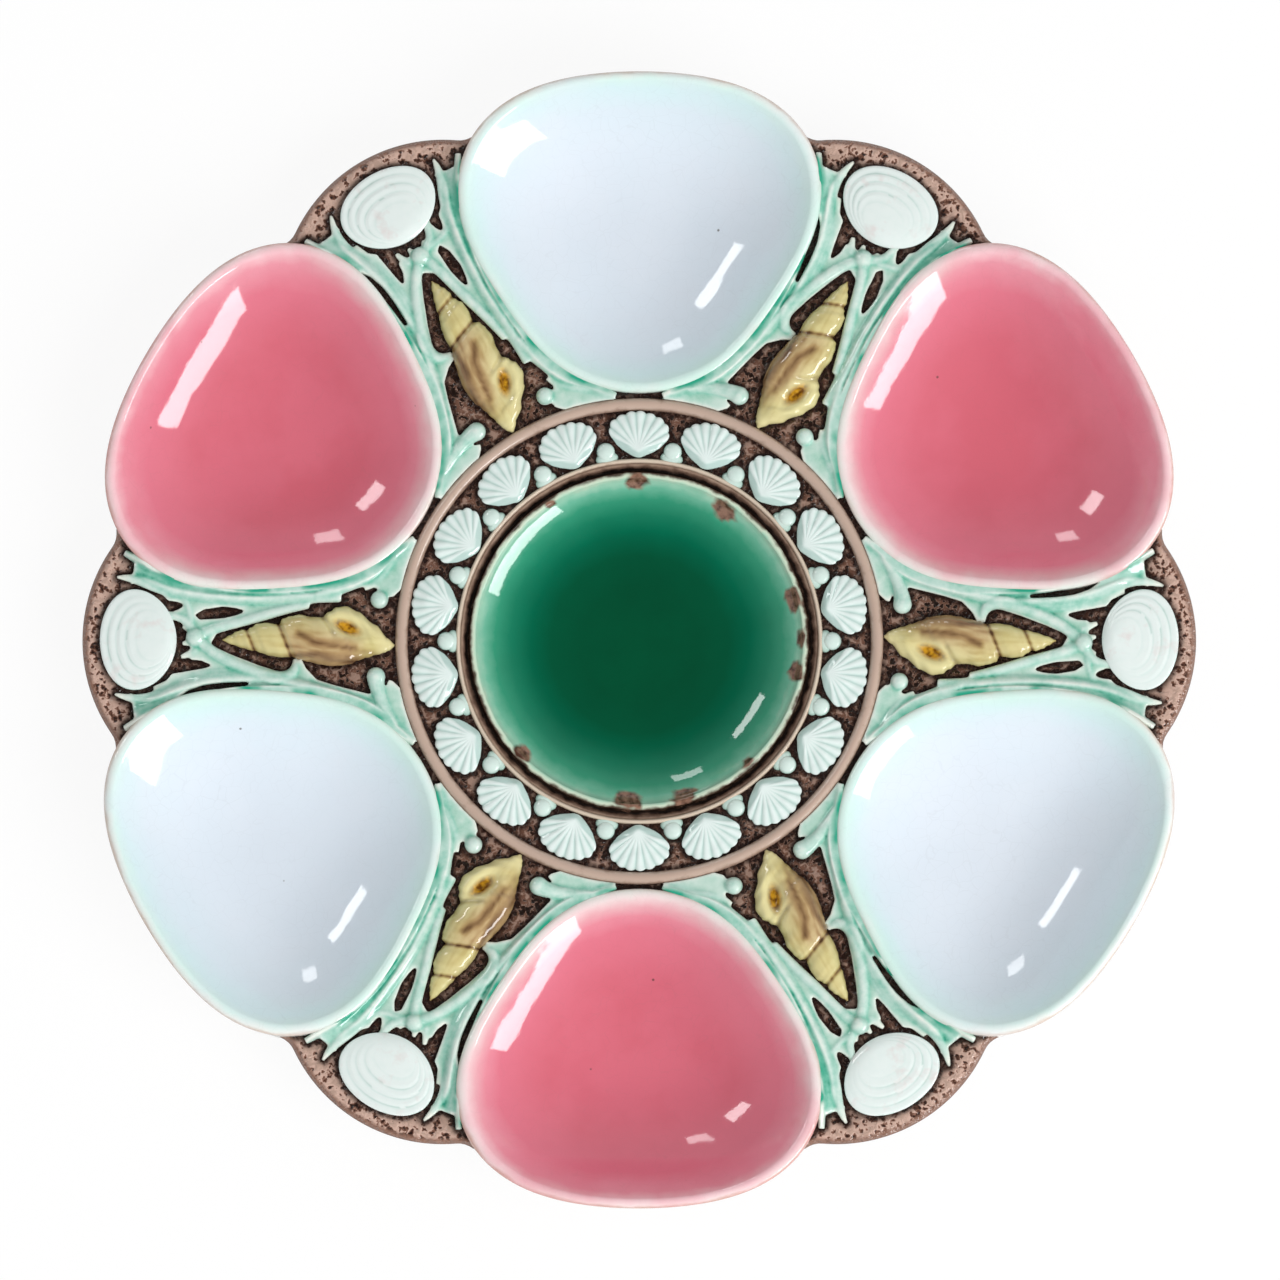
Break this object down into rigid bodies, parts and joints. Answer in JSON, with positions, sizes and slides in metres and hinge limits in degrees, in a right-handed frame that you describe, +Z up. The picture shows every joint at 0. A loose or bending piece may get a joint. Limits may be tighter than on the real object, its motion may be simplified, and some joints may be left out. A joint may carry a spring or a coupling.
{
  "type": "oyster plate",
  "caption": "Round glazed earthenware oyster plate: shell-shaped wells around a sauce well, with scallops, pearls, whelks, clams and seaweed moulded on the ground between them.",
  "frame": {"origin": "middle of the foot ring's resting face", "axes": "+Z up, out of the wells; +Y through the middle of a white oyster well, at the top of the picture"},
  "size_m": [0.2242, 0.2294, 0.0249],
  "materials": {
    "brown_ground_glaze": "stippled gloss glaze",
    "clear_glaze_foot": "clear gloss glaze over cream earthenware",
    "green_glaze": "deep gloss glaze",
    "cream_rim_glaze": "gloss glaze",
    "tan_band_glaze": "gloss glaze",
    "scallop_glaze": "gloss glaze",
    "pink_glaze": "gloss glaze, crazed",
    "white_glaze": "gloss glaze, crazed",
    "straw_whelk_glaze": "gloss glaze",
    "clam_glaze": "gloss glaze",
    "seaweed_glaze": "gloss glaze, pooled in the grooves"
  },
  "bodies": {
    "root": {"plate_ground": "brown_ground_glaze", "foot_ring": "clear_glaze_foot", "sauce_well": "green_glaze", "inner_rim": "cream_rim_glaze", "ring_band": "tan_band_glaze", "pearls": "scallop_glaze", "oyster_well_1": "pink_glaze", "oyster_well_2": "white_glaze", "oyster_well_3": "pink_glaze", "oyster_well_4": "white_glaze", "oyster_well_5": "pink_glaze", "oyster_well_6": "white_glaze", "scallop_1": "scallop_glaze", "scallop_2": "scallop_glaze", "scallop_3": "scallop_glaze", "scallop_4": "scallop_glaze", "scallop_5": "scallop_glaze", "scallop_6": "scallop_glaze", "scallop_7": "scallop_glaze", "scallop_8": "scallop_glaze", "scallop_9": "scallop_glaze", "scallop_10": "scallop_glaze", "scallop_11": "scallop_glaze", "scallop_12": "scallop_glaze", "scallop_13": "scallop_glaze", "scallop_14": "scallop_glaze", "scallop_15": "scallop_glaze", "scallop_16": "scallop_glaze", "scallop_17": "scallop_glaze", "scallop_18": "scallop_glaze", "whelk_1": "straw_whelk_glaze", "whelk_2": "straw_whelk_glaze", "whelk_3": "straw_whelk_glaze", "whelk_4": "straw_whelk_glaze", "whelk_5": "straw_whelk_glaze", "whelk_6": "straw_whelk_glaze", "rim_clam_1": "clam_glaze", "rim_clam_2": "clam_glaze", "rim_clam_3": "clam_glaze", "rim_clam_4": "clam_glaze", "rim_clam_5": "clam_glaze", "rim_clam_6": "clam_glaze", "seaweed_1": "seaweed_glaze", "seaweed_2": "seaweed_glaze", "seaweed_3": "seaweed_glaze", "seaweed_4": "seaweed_glaze", "seaweed_5": "seaweed_glaze", "seaweed_6": "seaweed_glaze"}
  },
  "joints": []
}
